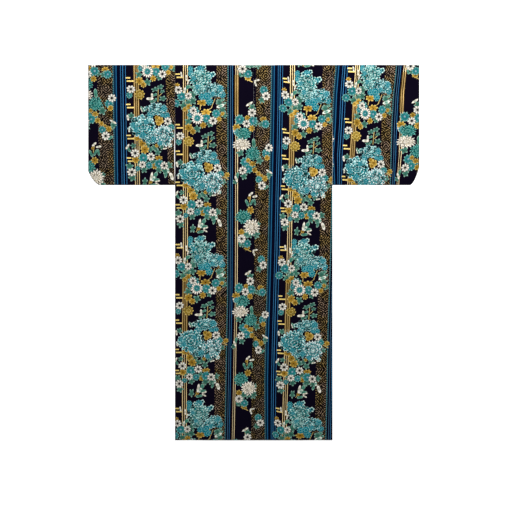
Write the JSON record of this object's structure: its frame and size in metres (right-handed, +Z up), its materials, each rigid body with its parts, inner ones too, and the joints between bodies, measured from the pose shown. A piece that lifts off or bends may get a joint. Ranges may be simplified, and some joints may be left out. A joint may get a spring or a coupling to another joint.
{
  "type": "yukata",
  "caption": "Unlined cotton summer robe with straight sleeve pouches and a band collar, laid flat on its front with the back up.",
  "frame": {"origin": "on the surface it lies on, under the middle of the laid-out garment", "axes": "+Y towards the shoulder fold, +X towards the wearer's right sleeve, +Z up through the layers to the back"},
  "size_m": [1.35, 1.53, 0.0042],
  "materials": {
    "body_cotton": "plain-woven cotton printed with flowers and stripes on navy",
    "okumi_cotton": "plain-woven cotton printed with flowers and stripes on navy",
    "collar_cotton": "plain-woven cotton printed with flowers and stripes on navy",
    "sleeve_cotton": "plain-woven cotton printed with flowers and stripes on navy"
  },
  "bodies": {
    "root": {"body_left": "body_cotton", "body_right": "body_cotton", "okumi_left": "okumi_cotton", "okumi_right": "okumi_cotton", "collar": "collar_cotton", "sleeve_left": "sleeve_cotton", "sleeve_right": "sleeve_cotton"}
  },
  "joints": []
}
